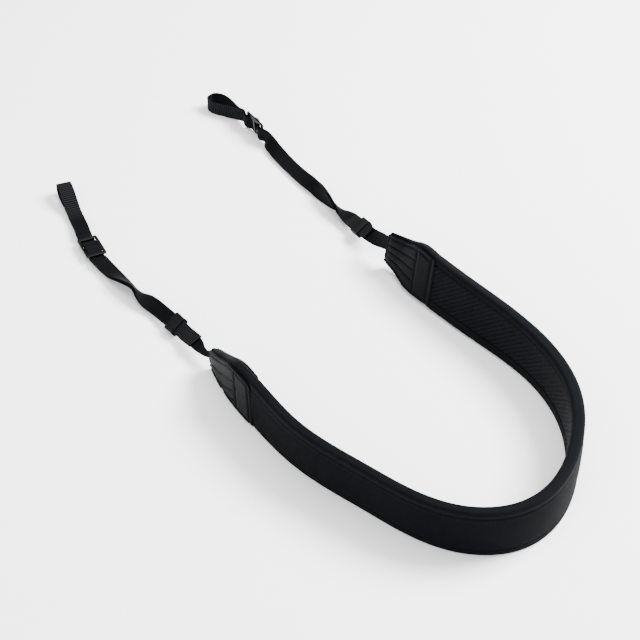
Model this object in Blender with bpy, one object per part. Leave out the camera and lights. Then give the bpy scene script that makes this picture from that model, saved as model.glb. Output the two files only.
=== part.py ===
"""Camera neck strap: a padded band with leather tabs, and doubled webbing to a loop at each end.

Sizes are in millimetres up to the moment a mesh is made. The band stands on its lower long edge
and bends in plan; the webbing leaves each tab, drops to the floor and lies there.
"""
import math

import bpy
import bmesh
import numpy as np
from mathutils import Matrix, Vector

MM = 0.001
GAP = 0.3                    # air kept between neighbouring pieces

# ---------------------------------------------------------------- the padded band
# One row a section, from the left tab's narrow end to the right tab's.
# distance, bend (degrees a centimetre, left is plus), lean (degrees outward), height of the band,
# lift of its middle from where standing on the floor would put it
BAND_COLUMNS = ("distance", "bend", "lean", "height", "lift")
BAND_ROWS = (
    (0.0, 4.2, 2.3, 16.6, -9.5),
    (20.0, 3.4, -1.5, 27.7, -5.6),
    (40.0, 1.7, -0.9, 37.3, -0.4),
    (63.5, 0.4, -0.6, 38.5, 0.0),
    (118.0, 3.5, 3.1, 39.0, 0.0),
    (172.5, -0.9, 4.0, 39.0, 0.0),
    (228.5, 6.85, 2.8, 39.0, 0.0),
    (278.5, 11.9, 0.0, 39.0, 0.0),
    (339.0, 4.0, 0.0, 39.0, 0.0),
    (394.5, 4.7, 2.7, 39.0, 0.0),
    (450.5, 4.3, 5.3, 39.0, 0.0),
    (505.0, -0.4, 13.1, 39.0, 0.0),
    (559.5, -1.4, 18.8, 38.5, 0.0),
    (579.0, -2.0, 20.0, 38.9, 0.0),
    (595.5, -3.3, 20.0, 30.3, -1.3),
    (611.0, -4.9, 8.5, 26.0, -1.4),
)
BAND_START = (-73.5, -51.3)  # where the left tab's narrow end stands in plan
BAND_HEADING = -71.8         # degrees, of the first stretch
BAND_LENGTH = 611.0
BAND_HEIGHT = 39.0
FLAT_FOOT = 1.6              # half width of the binding's flat edge, on which the band stands
LEFT_RIM = 64.9              # where the left leather tab meets the neoprene
RIGHT_RIM = 556.0

PAD_THICK = 7.4              # neoprene stretch, over the bindings
# under the leather: share of the way from the narrow end to the neoprene, thickness there
TAB_THICK_ROWS = ((0.0, 3.2), (0.35, 5.2), (0.7, 6.2), (1.0, 5.8))
BINDING_WALL = 1.2
OUTER_LIP = 4.8              # how far the binding shows on the outer face
INNER_LIPS = {1: 4.9, -1: 7.2}     # on the inner face, of the upper (+1) and lower strip
TAB_LIP = 4.2                # under the leather
PAD_BULGE = 0.5
CORE_SETBACK = 13.0          # the core stops this far inside each narrow end
BINDING_SETBACK = 1.5
STEP = 0.4                   # length of the step where a tab meets the neoprene

PANEL_THICK = 1.1
PANEL_BULGE = 0.3

LEATHER_THICK = 1.2
LEATHER_INSET = 1.0          # the leather stops this far short of the binding's lower edge
# share of the way from the narrow end to the neoprene, inset from the binding's upper edge
UPPER_INSET_ROWS = ((0.0, 1.0), (0.62, 2.7), (1.0, 2.7))
LEATHER_CORNER = 3.0         # radius of the leather's upper corner at the neoprene
CHANNEL_DEPTH = 0.8
RIM_RISE = 0.5
RIM_WIDTH = 2.4
SEAM_FROM_RIM = 19.8         # the cross seam of a leather tab
SEAM_DEPTH = 0.5
# across the leather: share of the half height, share of the channel depth lifted there
LEATHER_PROFILE = (
    (-1.0, 0.0), (-0.90, 1.0), (-0.62, 1.0), (-0.50, 0.0), (-0.38, 1.0), (-0.12, 1.0), (0.0, 0.0),
    (0.12, 1.0), (0.38, 1.0), (0.50, 0.0), (0.62, 1.0), (0.90, 1.0), (1.0, 0.0),
)

# ---------------------------------------------------------------- the webbing
WEB_WIDTH = 11.6
WEB_THICK = 1.2
LAYER_OFFSET = 0.9           # each of the two layers from the middle of the doubled run
WEB_IN_TAB = 11.5            # how far the webbing reaches into its tab
WAVE_HEIGHT = 2.4            # the layers rise this much over the slider's middle bar
WAVE_REACH = 10.8            # from the middle bar to the middle of an end bar

# x, y, height of the middle and roll (degrees, 0 flat, 90 on edge); one row a bend or twist.
# hold keeps the run straight and its roll steady that far each way, under a plastic piece
WEB_COLUMNS = ("x", "y", "z", "roll", "hold")
LEFT_WEB_ROWS = (
    (-82.4, -44.4, 11.9, 29.0, 0.0),
    (-87.8, -36.0, 9.4, -18.0, 0.0),
    (-95.9, -24.2, 7.6, -32.0, 0.0),
    (-104.0, -12.9, 6.9, -33.0, 5.0),
    (-112.5, -1.7, 6.0, -33.0, 0.0),
    (-120.2, 8.1, 5.1, -26.0, 0.0),
    (-127.8, 16.4, 4.9, 0.0, 0.0),
    (-136.0, 25.9, 6.1, 53.0, 0.0),
    (-144.7, 35.8, 5.7, 40.0, 0.0),
    (-154.0, 47.5, 3.6, 14.0, 0.0),
    (-162.4, 58.7, 3.2, 0.0, 0.0),
    (-175.2, 80.5, 4.4, 0.0, 13.0),
    (-187.0, 108.8, 2.6, 0.0, 0.0),
    (-193.7, 125.4, 2.9, 0.0, 0.0),
    (-200.0, 141.5, 5.9, 0.0, 0.0),
    (-206.2, 157.7, 6.4, 0.0, 0.0),
)
RIGHT_WEB_ROWS = (
    (41.8, 79.3, 15.2, 130.0, 0.0),
    (37.6, 87.6, 12.6, 148.0, 0.0),
    (32.1, 98.9, 9.6, 151.0, 5.0),
    (25.8, 110.6, 7.2, 158.0, 0.0),
    (20.4, 120.0, 6.0, 190.0, 0.0),
    (13.4, 129.2, 6.3, 233.0, 0.0),
    (7.9, 137.6, 6.2, 262.0, 0.0),
    (2.0, 147.0, 6.2, 285.0, 0.0),
    (-6.0, 161.0, 5.0, 325.0, 0.0),
    (-14.2, 174.5, 3.4, 346.0, 0.0),
    (-23.8, 190.0, 2.7, 353.0, 0.0),
    (-32.7, 204.4, 3.5, 344.0, 0.0),
    (-41.4, 219.0, 5.9, 308.0, 0.0),
    (-54.6, 241.5, 8.6, 264.0, 13.0),
    (-70.0, 262.0, 7.6, 268.0, 0.0),
    (-81.5, 273.6, 6.3, 270.0, 0.0),
    (-94.5, 284.5, 6.0, 270.0, 0.0),
)
HOLD_EASE = 3.0
# tail end: distance along the run from the tab; tail side: on which face the second layer lies;
# mouth rise: how far above its tab's middle the webbing leaves it
RUN_COLUMNS = ("tail_end", "tail_side", "mouth_rise", "loop_length", "loop_half_width")
LEFT_RUN = (20.5, 1.0, 1.2, 31.0, 5.6)
RIGHT_RUN = (28.0, -1.0, 1.9, 36.0, 7.4)

# half of a lug loop from its closed end to its nose: share of its length from the nose, share of
# its half width; the last step is the flat nose
LOOP_ROWS = (
    (1.0, 0.0), (0.83, 0.22), (0.63, 0.55), (0.42, 0.88),
    (0.22, 1.0), (0.08, 0.76), (0.01, 0.42), (0.0, 0.31),
)

# ---------------------------------------------------------------- the plastic pieces
KEEPER_LENGTH = 9.5
KEEPER_WALL = 1.0
KEEPER_SLACK = 0.5
KEEPER_CORNER = 1.2

SLIDER_BARS = (-12.2, -9.4, -5.2, -1.3, 1.3, 5.2, 9.4, 12.2)   # bar and slot edges along the run
SLIDER_SLOTS = (1, 2, 4, 5)                                    # which stretches are open
SLIDER_RAIL_IN = 6.3
SLIDER_RAIL_OUT = 8.1
SLIDER_THICK = 1.7
SLIDER_CURVE = 0.6           # the middle bar sits this low, the end bars this high
SLIDER_EDGE = 0.35

COLOURS = {
    "neoprene": (0.012, 0.013, 0.016, 1.0),
    "binding": (0.010, 0.010, 0.012, 1.0),
    "grip": (0.014, 0.015, 0.017, 1.0),
    "leather": (0.030, 0.031, 0.033, 1.0),
    "webbing": (0.012, 0.012, 0.013, 1.0),
    "matte": (0.016, 0.017, 0.019, 1.0),
    "gloss": (0.010, 0.010, 0.012, 1.0),
}
ROUGHNESS = {
    "neoprene": 0.75,
    "binding": 0.8,
    "grip": 0.85,
    "leather": 0.45,
    "webbing": 0.8,
    "matte": 0.5,
    "gloss": 0.2,
}


# ---------------------------------------------------------------- curves
def column(rows, columns, name):
    return np.array([row[columns.index(name)] for row in rows])


def smooth(at, knots, values):
    """Values between knots on a curve with no corners: cubic pieces with averaged slopes."""
    knots = np.asarray(knots, float)
    values = np.asarray(values, float)
    slopes = np.gradient(values, knots)
    at = np.clip(np.asarray(at, float), knots[0], knots[-1])
    i = np.clip(np.searchsorted(knots, at, side="right") - 1, 0, len(knots) - 2)
    span = knots[i + 1] - knots[i]
    t = (at - knots[i]) / span
    a = (1 + 2 * t) * (1 - t) ** 2
    b = t * (1 - t) ** 2 * span
    c = t * t * (3 - 2 * t)
    d = t * t * (t - 1) * span
    return a * values[i] + b * slopes[i] + c * values[i + 1] + d * slopes[i + 1]


def unit(v):
    return v / np.linalg.norm(v, axis=-1, keepdims=True)


class Band:
    """The padded band's middle line and its two cross directions at any distance."""

    def __init__(self):
        fine = np.linspace(0.0, BAND_LENGTH, 2461)
        step = fine[1] - fine[0]
        knots = column(BAND_ROWS, BAND_COLUMNS, "distance")
        bend = np.interp(fine, knots, column(BAND_ROWS, BAND_COLUMNS, "bend")) / 10.0
        turned = np.concatenate([[0.0], np.cumsum((bend[1:] + bend[:-1]) / 2 * step)])
        heading = np.radians(BAND_HEADING + turned)
        half = (heading[1:] + heading[:-1]) / 2
        self.fine = fine
        self.knots = knots
        self.heading = heading
        self.x = BAND_START[0] + np.concatenate([[0.0], np.cumsum(np.cos(half) * step)])
        self.y = BAND_START[1] + np.concatenate([[0.0], np.cumsum(np.sin(half) * step)])

    def value(self, name, at):
        return np.interp(at, self.knots, column(BAND_ROWS, BAND_COLUMNS, name))

    def frame(self, at):
        """Middle point, outward direction and upward direction."""
        heading = np.interp(at, self.fine, self.heading)
        lean = math.radians(self.value("lean", at))
        out = np.array([math.sin(heading), -math.cos(heading), 0.0])
        up = math.cos(lean) * np.array([0, 0, 1.0]) + math.sin(lean) * out
        side = math.cos(lean) * out - math.sin(lean) * np.array([0, 0, 1.0])
        rise = BAND_HEIGHT / 2 * math.cos(lean) + FLAT_FOOT * abs(math.sin(lean)) + self.value("lift", at)
        foot = np.array([np.interp(at, self.fine, self.x), np.interp(at, self.fine, self.y), 0.0])
        middle = foot + np.array([0, 0, rise]) + BAND_HEIGHT / 2 * math.sin(lean) * out
        return middle, side, up

    def place(self, at, section):
        middle, side, up = self.frame(at)
        return [middle + u * side + v * up for u, v in section]


band = Band()


def tab_share(at):
    """Share of the way from a tab's narrow end to the neoprene."""
    return at / LEFT_RIM if at <= LEFT_RIM else (BAND_LENGTH - at) / (BAND_LENGTH - RIGHT_RIM)


def thickness(at):
    """Thickness over the bindings: thin under the leather, full along the neoprene."""
    if LEFT_RIM < at < RIGHT_RIM:
        return PAD_THICK
    shares, values = zip(*TAB_THICK_ROWS)
    return float(smooth(tab_share(at), shares, values))


def in_tab(at):
    return at <= LEFT_RIM or at >= RIGHT_RIM


# ---------------------------------------------------------------- sections of the band
def core_section(at):
    """Foam and outer neoprene, inside the bindings' lips."""
    tall = band.value("height", at) / 2
    thick = thickness(at)
    k = thick / PAD_THICK
    flank = thick / 2 - BINDING_WALL * k - GAP
    face = flank + 0.05 if in_tab(at) else thick / 2
    swell = 0.0 if in_tab(at) else PAD_BULGE
    lip = (TAB_LIP * k if in_tab(at) else OUTER_LIP) + GAP
    side = [
        (flank - 0.9 * k, tall - BINDING_WALL * k - GAP),
        (flank, tall - 2.6 * k),
        (flank, tall - lip),
        (face, tall - lip),
        (face + swell, tall * 0.3),
    ]
    back = [
        (-flank + 0.9 * k, tall - BINDING_WALL * k - GAP),
        (-flank, tall - 2.6 * k),
        (-flank, tall * 0.55),
    ]
    lower = [(u, -v) for u, v in side]
    lower_back = [(u, -v) for u, v in back[::-1]]
    return lower + side[::-1] + back + [(-flank, 0.0)] + lower_back


def binding_section(at, sign):
    """A strip folded round one long edge; sign is +1 for the upper edge."""
    tall = band.value("height", at) / 2
    thick = thickness(at)
    k = thick / PAD_THICK
    wall = BINDING_WALL * k
    outer_lip = TAB_LIP * k if in_tab(at) else OUTER_LIP
    inner_lip = TAB_LIP * k if in_tab(at) else INNER_LIPS[sign]
    half = thick / 2
    foot = min(FLAT_FOOT, half - 1.0 * k - 0.1)
    outside = [
        (half, tall - outer_lip), (half, tall - 2.6 * k), (half - 0.8 * k, tall - 0.7 * k), (foot, tall),
        (-foot, tall), (-half + 0.8 * k, tall - 0.7 * k), (-half, tall - 2.6 * k), (-half, tall - inner_lip),
    ]
    inside = [
        (-half + wall, tall - inner_lip), (-half + wall, tall - 2.5 * k), (-half + 2.0 * k, tall - wall),
        (half - 2.0 * k, tall - wall), (half - wall, tall - 2.5 * k), (half - wall, tall - outer_lip),
    ]
    return [(u, v * sign) for u, v in outside + inside]


def panel_section(at):
    """The ribbed grip panel let into the inner face between the bindings."""
    tall = band.value("height", at) / 2 - GAP
    top_edge, low_edge = tall - INNER_LIPS[1], INNER_LIPS[-1] - tall
    mid, reach = (top_edge + low_edge) / 2, (top_edge - low_edge) / 2
    base = -(PAD_THICK / 2 - BINDING_WALL - GAP) - GAP
    top = base - PANEL_THICK
    crown = top - PANEL_BULGE
    under = [(base, low_edge), (base, mid), (base, top_edge)]
    face = [(top, top_edge), (crown, mid + reach * 0.4), (crown, mid - reach * 0.4), (top, low_edge)]
    return under + face


def leather_section(at, side, from_rim):
    """A leather face: side +1 outer, -1 inner; channels run from the cross seam to the nose."""
    inset = float(np.interp(tab_share(at), *zip(*UPPER_INSET_ROWS)))
    if from_rim < LEATHER_CORNER:
        inset += LEATHER_CORNER - math.sqrt(LEATHER_CORNER ** 2 - (LEATHER_CORNER - from_rim) ** 2)
    upper = band.value("height", at) / 2 - inset
    lower = LEATHER_INSET - band.value("height", at) / 2
    middle, tall = (upper + lower) / 2, (upper - lower) / 2
    base = thickness(at) / 2 + GAP
    if from_rim < RIM_WIDTH:
        lift = [RIM_RISE if abs(share) < 0.99 else 0.0 for share, _ in LEATHER_PROFILE]
    elif from_rim < SEAM_FROM_RIM:
        lift = [CHANNEL_DEPTH if abs(share) < 0.99 else 0.0 for share, _ in LEATHER_PROFILE]
    else:
        lift = [CHANNEL_DEPTH * raised for _, raised in LEATHER_PROFILE]
    if abs(from_rim - SEAM_FROM_RIM) < 0.5:
        lift = [h - SEAM_DEPTH * (abs(share) < 0.99) for h, (share, _) in zip(lift, LEATHER_PROFILE)]
    shares = [share for share, _ in LEATHER_PROFILE]
    top = [(base + LEATHER_THICK + h, middle + share * tall) for h, share in zip(lift, shares)]
    under = [(base, upper), (base, lower)]
    return [(side * u, v) for u, v in top + under]


# ---------------------------------------------------------------- meshes
def new_object(name, verts, faces, slot):
    mesh = bpy.data.meshes.new(name)
    mesh.from_pydata([tuple(c * MM for c in v) for v in verts], [], faces)
    obj = bpy.data.objects.new(name, mesh)
    bpy.context.scene.collection.objects.link(obj)
    bm = bmesh.new()
    bm.from_mesh(mesh)
    bmesh.ops.recalc_face_normals(bm, faces=bm.faces)
    bm.to_mesh(mesh)
    bm.free()
    paint(obj, slot)
    return obj


def paint(obj, slot):
    mat = bpy.data.materials.new(obj.name)
    mat.use_nodes = True
    shader = mat.node_tree.nodes["Principled BSDF"]
    shader.inputs["Base Color"].default_value = COLOURS[slot]
    shader.inputs["Roughness"].default_value = ROUGHNESS[slot]
    obj.data.materials.clear()
    obj.data.materials.append(mat)


def skin(name, rings, slot):
    """A closed body through a row of rings with equally many points."""
    count = len(rings[0])
    verts = [p for ring in rings for p in ring]
    faces = []
    for i in range(len(rings) - 1):
        for j in range(count):
            k = (j + 1) % count
            faces.append((i * count + j, i * count + k, (i + 1) * count + k, (i + 1) * count + j))
    faces.append(tuple(range(count))[::-1])
    last = (len(rings) - 1) * count
    faces.append(tuple(last + j for j in range(count)))
    return new_object(name, verts, faces, slot)


def stations(start, end, tight, loose):
    """Distances with short steps where the band bends hard and longer ones elsewhere."""
    found = [start]
    while found[-1] < end:
        bend = abs(band.value("bend", found[-1]))
        found.append(found[-1] + loose + (tight - loose) * min(bend / 9.0, 1.0))
    span = (end - start) / (found[-1] - start)
    return [start + (s - start) * span for s in found]


MIDDLE = stations(LEFT_RIM + STEP, RIGHT_RIM - STEP, 6.5, 12.5)


def tab_stations(length, setback):
    """Distances from the rim to the narrow end that the band and its leather share."""
    past_seam = SEAM_FROM_RIM + 1.0
    shared = [0.0, past_seam / 2] + list(np.linspace(past_seam, length, 5))
    return [d for d in shared if d < length - setback - 1.0] + [length - setback]


def whole_band(setback):
    """Stations of a piece that runs through both tabs, with a step at each rim."""
    left = [LEFT_RIM - d for d in tab_stations(LEFT_RIM, setback)]
    right = [RIGHT_RIM + d for d in tab_stations(BAND_LENGTH - RIGHT_RIM, setback)]
    return left[::-1] + MIDDLE + right


def build_band():
    skin("neck_pad", [band.place(s, core_section(s)) for s in whole_band(CORE_SETBACK)], "neoprene")
    for name, sign in (("upper_binding", 1), ("lower_binding", -1)):
        rings = [band.place(s, binding_section(s, sign)) for s in whole_band(BINDING_SETBACK)]
        skin(name, rings, "binding")
    inner = [MIDDLE[0] + GAP] + MIDDLE[1:-1] + [MIDDLE[-1] - GAP]
    skin("grip_panel", [band.place(s, panel_section(s)) for s in inner], "grip")


def leather_stations(length):
    """The shared distances, and close ones at the corner, the rim line and the cross seam."""
    close = [0.9, RIM_WIDTH - 0.4, RIM_WIDTH + 0.4, SEAM_FROM_RIM - 1.0, SEAM_FROM_RIM]
    return sorted(tab_stations(length, 0.0) + close)


def build_leather():
    for end, rim, way in (("left", LEFT_RIM, -1), ("right", RIGHT_RIM, 1)):
        length = LEFT_RIM if end == "left" else BAND_LENGTH - RIGHT_RIM
        for face, side in (("outer", 1), ("inner", -1)):
            rings = []
            for from_rim in leather_stations(length):
                at = rim + way * from_rim
                rings.append(band.place(at, leather_section(at, side, from_rim)))
            skin(f"{face}_tab_{end}", rings, "leather")


# ---------------------------------------------------------------- webbing
class Run:
    """The middle line of one doubled run, from inside its tab to the nose of its lug loop."""

    def __init__(self, rows, inside, mouth, first_roll, facts):
        self.facts = dict(zip(RUN_COLUMNS, facts))
        points = [inside, inside * 0.2 + mouth * 0.8, mouth]
        rolls = [first_roll] * 3
        held = []
        for i, row in enumerate(rows):
            here = np.array(row[:3])
            hold = row[WEB_COLUMNS.index("hold")]
            if hold == 0.0:
                steps, along = (0.0,), np.zeros(3)
            else:
                steps = (-hold - HOLD_EASE, -hold, 0.0, hold, hold + HOLD_EASE)
                along = unit(np.array(rows[i + 1][:3]) - np.array(rows[i - 1][:3]))
                held.append(len(points) + 2)
            points += [here + along * step for step in steps]
            rolls += [row[WEB_COLUMNS.index("roll")]] * len(steps)
        points = np.array(points)
        gaps = np.linalg.norm(np.diff(points, axis=0), axis=1)
        self.knots = np.concatenate([[0.0], np.cumsum(gaps)]) - gaps[0] - gaps[1]
        self.points = points
        self.rolls = np.array(rolls)
        self.keeper, self.slider = (self.knots[i] for i in held)
        self.start = self.knots[0]
        self.nose = self.knots[-1]

    def frame(self, at):
        """Point, run direction, width direction and face direction."""
        here = np.array([smooth(at, self.knots, self.points[:, i]) for i in range(3)])
        d = 0.5
        lo, hi = max(at - d, self.start), min(at + d, self.nose)
        ahead = np.array([smooth(hi, self.knots, self.points[:, i]) for i in range(3)])
        behind = np.array([smooth(lo, self.knots, self.points[:, i]) for i in range(3)])
        along = unit(ahead - behind)
        flat = unit(np.cross([0, 0, 1.0], along))
        rise = np.cross(along, flat)
        roll = math.radians(float(smooth(at, self.knots, self.rolls)))
        wide = math.cos(roll) * flat + math.sin(roll) * rise
        return here, along, wide, np.cross(along, wide)

    def wave(self, at):
        """How far the layers are lifted to pass over the slider's middle bar and under its ends."""
        off = abs(at - self.slider)
        if off >= WAVE_REACH * 1.75:
            return 0.0
        if off > WAVE_REACH:
            lift = -0.5 * (1 + math.cos(math.pi * (off - WAVE_REACH) / (WAVE_REACH * 0.75)))
        else:
            lift = math.cos(math.pi * off / WAVE_REACH)
        return WAVE_HEIGHT * lift * self.facts["tail_side"]


def layer_distances(run, start, end):
    """Close stations round the slider, wider ones along the rest of the run."""
    found = [start]
    while found[-1] < end - 0.5:
        off = abs(found[-1] - run.slider)
        found.append(found[-1] + (1.8 if off < WAVE_REACH * 1.8 else 5.5))
    span = (end - start) / (found[-1] - start)
    return [start + (s - start) * span for s in found]


def ribbon(name, middles, wides, slot):
    """A flat band of webbing along a row of middle points with the width direction at each."""
    middles = np.array(middles)
    wides = np.array(wides)
    along = unit(np.gradient(middles, axis=0))
    faces = unit(np.cross(along, wides))
    half_w, half_t = WEB_WIDTH / 2, WEB_THICK / 2
    rings = []
    for m, w, f in zip(middles, wides, faces):
        rings.append([m + w * half_w + f * half_t, m - w * half_w + f * half_t,
                      m - w * half_w - f * half_t, m + w * half_w - f * half_t])
    return skin(name, rings, slot)


def build_webbing(end, run):
    tail = run.facts["tail_side"]
    shares = np.array(LOOP_ROWS)
    back = shares[:, 0] * run.facts["loop_length"]
    half = LAYER_OFFSET + shares[:, 1] * (run.facts["loop_half_width"] - LAYER_OFFSET)
    loop = np.stack([back, half], axis=1)
    loop_start = run.nose - loop[0][0]
    middles, wides = [], []

    def add(at, offset):
        here, _, wide, face = run.frame(at)
        middles.append(here + face * offset)
        wides.append(wide)

    for at in layer_distances(run, run.start, loop_start)[:-1]:
        share = min(max((at - 2.0) / (run.facts["tail_end"] - 4.0), 0.0), 1.0)
        add(at, run.wave(at) * share - tail * LAYER_OFFSET * share)
    order = np.concatenate([[0.0], np.cumsum(np.linalg.norm(np.diff(loop, axis=0), axis=1))])
    fine = np.linspace(0.0, order[-1], 17)
    back = smooth(fine, order, loop[:, 0])
    half = smooth(fine, order, loop[:, 1])
    for b, h in zip(back, half):
        add(run.nose - b, -tail * h)
    for b, h in zip(back[::-1], half[::-1]):
        add(run.nose - b, tail * h)
    for at in layer_distances(run, run.facts["tail_end"], loop_start)[::-1][1:]:
        add(at, run.wave(at) + tail * LAYER_OFFSET)
    ribbon(f"webbing_{end}", middles, wides, "webbing")


def build_keeper(end, run):
    here, along, wide, face = run.frame(run.keeper)
    inner_w = WEB_WIDTH / 2 + KEEPER_SLACK
    inner_t = LAYER_OFFSET + WEB_THICK / 2 + KEEPER_SLACK

    def loop(half_w, half_t, corner):
        pts = []
        for sw, st in ((1, 1), (-1, 1), (-1, -1), (1, -1)):
            a = (sw * (half_w - corner), st * half_t)
            b = (sw * (half_w - corner * 0.3), st * (half_t - corner * 0.3))
            c = (sw * half_w, st * (half_t - corner))
            pts += [c, b, a] if sw * st > 0 else [a, b, c]
        return pts

    hole = loop(inner_w, inner_t, KEEPER_CORNER * 0.5)
    body = loop(inner_w + KEEPER_WALL, inner_t + KEEPER_WALL, KEEPER_CORNER)
    soft = loop(inner_w + KEEPER_WALL - 0.3, inner_t + KEEPER_WALL - 0.3, KEEPER_CORNER)
    half = KEEPER_LENGTH / 2
    layers = [(hole, -half), (soft, -half), (body, -half + 0.3), (body, half - 0.3), (soft, half), (hole, half)]
    verts = [here + along * s + wide * w + face * t for shape, s in layers for w, t in shape]
    count = len(hole)
    faces = []
    for i in range(len(layers)):
        n = (i + 1) % len(layers)
        for j in range(count):
            k = (j + 1) % count
            faces.append((i * count + j, i * count + k, n * count + k, n * count + j))
    new_object(f"keeper_{end}", verts, faces, "matte")


def build_slider(end, run):
    """A plate with three bars; the layers pass under its end bars and over its middle bar."""
    here, along, wide, face = run.frame(run.slider)
    rails = (-SLIDER_RAIL_OUT, -SLIDER_RAIL_IN, SLIDER_RAIL_IN, SLIDER_RAIL_OUT)
    verts, faces, index = [], [], {}
    for level in (-1, 1):
        for i, s in enumerate(SLIDER_BARS):
            dip = math.cos(math.pi * min(abs(s), WAVE_REACH) / WAVE_REACH)
            bow = -SLIDER_CURVE * dip * run.facts["tail_side"]
            for j, w in enumerate(rails):
                index[level, i, j] = len(verts)
                verts.append(here + along * s + wide * w + face * (bow + level * SLIDER_THICK / 2))
    cells = {(i, j) for i in range(len(SLIDER_BARS) - 1) for j in range(3)}
    cells -= {(i, 1) for i in SLIDER_SLOTS}
    for i, j in sorted(cells):
        corners = ((i, j), (i + 1, j), (i + 1, j + 1), (i, j + 1))
        for level in (-1, 1):
            faces.append(tuple(index[level, a, b] for a, b in corners))
        for (a, b), (c, d), beside in (
            (corners[0], corners[1], (i, j - 1)), (corners[1], corners[2], (i + 1, j)),
            (corners[2], corners[3], (i, j + 1)), (corners[3], corners[0], (i - 1, j)),
        ):
            if beside not in cells:
                faces.append((index[-1, a, b], index[-1, c, d], index[1, c, d], index[1, a, b]))
    obj = new_object(f"slider_{end}", verts, faces, "gloss")
    soften = obj.modifiers.new("edges", "BEVEL")
    soften.width = SLIDER_EDGE * MM
    soften.segments = 1
    soften.limit_method = "ANGLE"
    soften.angle_limit = math.radians(40)


def build_runs():
    for end, rows, facts in (("left", LEFT_WEB_ROWS, LEFT_RUN), ("right", RIGHT_WEB_ROWS, RIGHT_RUN)):
        first = 0.0 if end == "left" else BAND_LENGTH
        deep = WEB_IN_TAB if end == "left" else BAND_LENGTH - WEB_IN_TAB
        inside, _, up = band.frame(deep)
        mouth, _, mouth_up = band.frame(first)
        lean = band.value("lean", first)
        roll = 90.0 - lean if end == "left" else 90.0 + lean
        rise = dict(zip(RUN_COLUMNS, facts))["mouth_rise"]
        run = Run(rows, inside + up * rise, mouth + mouth_up * rise, roll, facts)
        build_webbing(end, run)
        build_keeper(end, run)
        build_slider(end, run)
        print(end, "doubled run from the tab to the loop's closed end", round(run.nose, 1), "mm")


def clear_scene():
    for obj in list(bpy.data.objects):
        bpy.data.objects.remove(obj, do_unlink=True)


def centre_on_floor():
    """Put the origin under the middle of the whole strap, on the floor."""
    bpy.context.view_layer.update()
    corners = np.array([tuple(v.co) for obj in bpy.data.objects for v in obj.data.vertices])
    low, high = corners.min(axis=0), corners.max(axis=0)
    shift = Vector((-(low[0] + high[0]) / 2, -(low[1] + high[1]) / 2, -low[2]))
    for obj in bpy.data.objects:
        obj.data.transform(Matrix.Translation(shift))
    print("size", (high - low).round(4), "shift", [round(v, 5) for v in shift])


clear_scene()
build_band()
build_leather()
build_runs()
centre_on_floor()
for made in bpy.data.objects:
    lowest = min(v.co.z for v in made.data.vertices)
    print(made.name, "lowest point", round(lowest / MM, 2), "mm")
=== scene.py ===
# %% [markdown]
# # A camera neck strap, lying in a U
# The strap is a padded band that stands on its lower edge, with a leather tab at each end. From
# each tab a doubled run of webbing leaves, lies down on the floor and ends in a loop. Everything
# is modelled straight on a bench, where one unit is a millimetre, and is bent along its route at
# the end. That is also how the real strap is made: sewn flat, then laid down.

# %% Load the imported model
import math

import bpy
import numpy as np
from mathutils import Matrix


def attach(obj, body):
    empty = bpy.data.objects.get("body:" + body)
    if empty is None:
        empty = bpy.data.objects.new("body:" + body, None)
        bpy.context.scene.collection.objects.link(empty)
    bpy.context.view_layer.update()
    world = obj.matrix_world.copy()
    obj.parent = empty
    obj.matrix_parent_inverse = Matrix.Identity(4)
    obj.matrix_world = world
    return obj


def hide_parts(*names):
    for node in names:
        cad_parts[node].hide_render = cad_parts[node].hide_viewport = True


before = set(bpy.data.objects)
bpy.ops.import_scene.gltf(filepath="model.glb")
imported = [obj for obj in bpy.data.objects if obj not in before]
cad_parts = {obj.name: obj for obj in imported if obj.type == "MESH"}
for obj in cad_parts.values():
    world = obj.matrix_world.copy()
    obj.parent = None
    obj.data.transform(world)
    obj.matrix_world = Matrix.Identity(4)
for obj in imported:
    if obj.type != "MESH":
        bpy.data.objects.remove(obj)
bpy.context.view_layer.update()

bpy.ops.object.select_all(action="DESELECT")

# %% [markdown]
# ## Camera, floor and light
# The photo looks down at about forty degrees with a long lens. The floor is white, and the light
# is large and soft: one panel high on the right and a little behind, whose shadow falls to the
# left, a weaker one in front on the left, one overhead, and an even white all round.

# %% The camera
CENTRE = (0.01985, -0.03025)      # the floor point in the middle of the picture
DISTANCE = 1.17
LOOK_DOWN = math.radians(40.6)
LENS = 90.0

bpy.ops.object.camera_add(
    location=(
        CENTRE[0],
        CENTRE[1] - DISTANCE * math.cos(LOOK_DOWN),
        DISTANCE * math.sin(LOOK_DOWN),
    ),
    rotation=(math.pi / 2 - LOOK_DOWN, 0.0, 0.0),
)
camera = bpy.context.object
camera.data.lens = LENS
camera.data.sensor_width = 36.0
camera.data.clip_end = 50.0
bpy.context.scene.camera = camera
print("camera at", [round(v, 3) for v in camera.location])

# %% The floor
FLOOR_SIZE = 40.0
bpy.ops.mesh.primitive_plane_add(size=FLOOR_SIZE, location=(0.0, 0.0, -0.0001))
floor = bpy.context.object
floor.name = "floor"

# %% The lights
# name, size in metres, watts and place; each faces the middle of the scene
LIGHTS = (
    ("right_panel", 1.1, 205.0, (1.35, 0.45, 1.42)),
    ("left_panel", 1.6, 37.0, (-1.1, -1.3, 1.0)),
    ("top_panel", 2.4, 66.0, (0.0, 0.1, 2.3)),
)
for name, size, watts, place in LIGHTS:
    bpy.ops.object.light_add(type="AREA", location=place)
    light = bpy.context.object
    light.name = name
    light.data.size = size
    light.data.energy = watts
    light.data.shape = "DISK"
    aim = -np.array(place)
    light.rotation_euler = (
        math.atan2(math.hypot(aim[0], aim[1]), -aim[2]),
        0.0,
        math.atan2(aim[1], aim[0]) - math.pi / 2,
    )
world = bpy.data.worlds.new("studio")
world.use_nodes = True
world.node_tree.nodes["Background"].inputs["Color"].default_value = (1.0, 1.0, 1.0, 1.0)
world.node_tree.nodes["Background"].inputs["Strength"].default_value = 0.62
bpy.context.scene.world = world
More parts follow.
